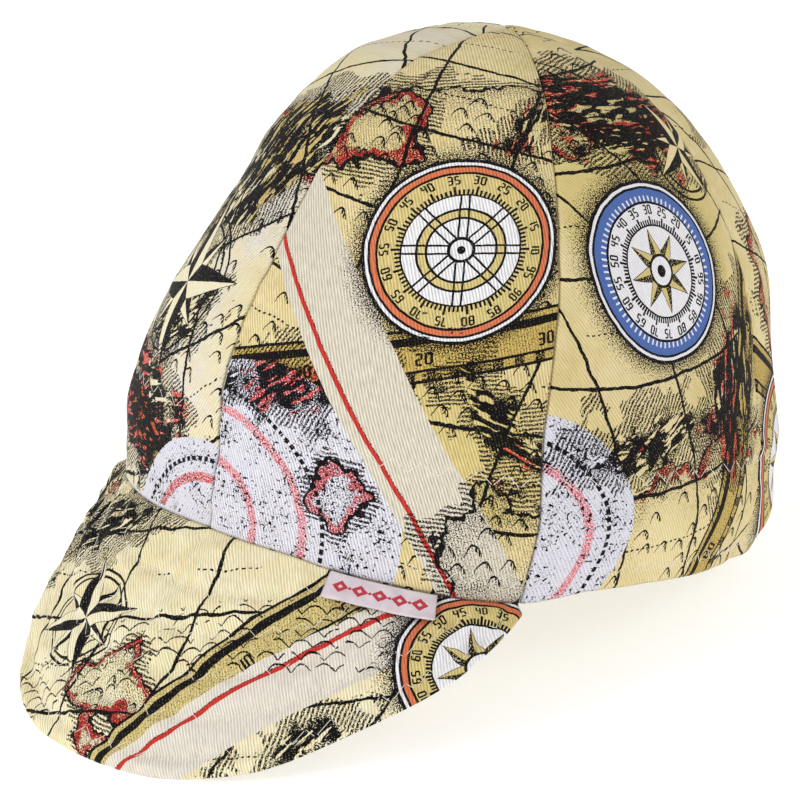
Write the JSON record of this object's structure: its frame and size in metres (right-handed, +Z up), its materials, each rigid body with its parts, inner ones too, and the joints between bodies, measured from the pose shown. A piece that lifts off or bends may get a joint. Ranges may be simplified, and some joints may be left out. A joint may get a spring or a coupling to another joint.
{
  "type": "soft brim cap",
  "caption": "Soft cotton brim cap: a six-gore domed crown over an inner sweatband, with a short quilted brim that droops at the front.",
  "frame": {"origin": "on the surface that the cap rests on, under the middle of the cap's box", "axes": "+Z up, the brim points to -Y, +X is the wearer's left"},
  "size_m": [0.1802, 0.261, 0.1697],
  "materials": {
    "printed_twill": "matt printed cotton twill",
    "quilted_twill": "matt printed cotton twill, quilted",
    "band_twill": "matt plain cotton twill",
    "satin_ribbon": "woven satin"
  },
  "bodies": {
    "root": {"panel_front_left": "printed_twill", "panel_side_left": "printed_twill", "panel_back_left": "printed_twill", "panel_back_right": "printed_twill", "panel_side_right": "printed_twill", "panel_front_right": "printed_twill", "brim": "quilted_twill", "sweatband": "band_twill", "tag": "satin_ribbon"}
  },
  "joints": []
}
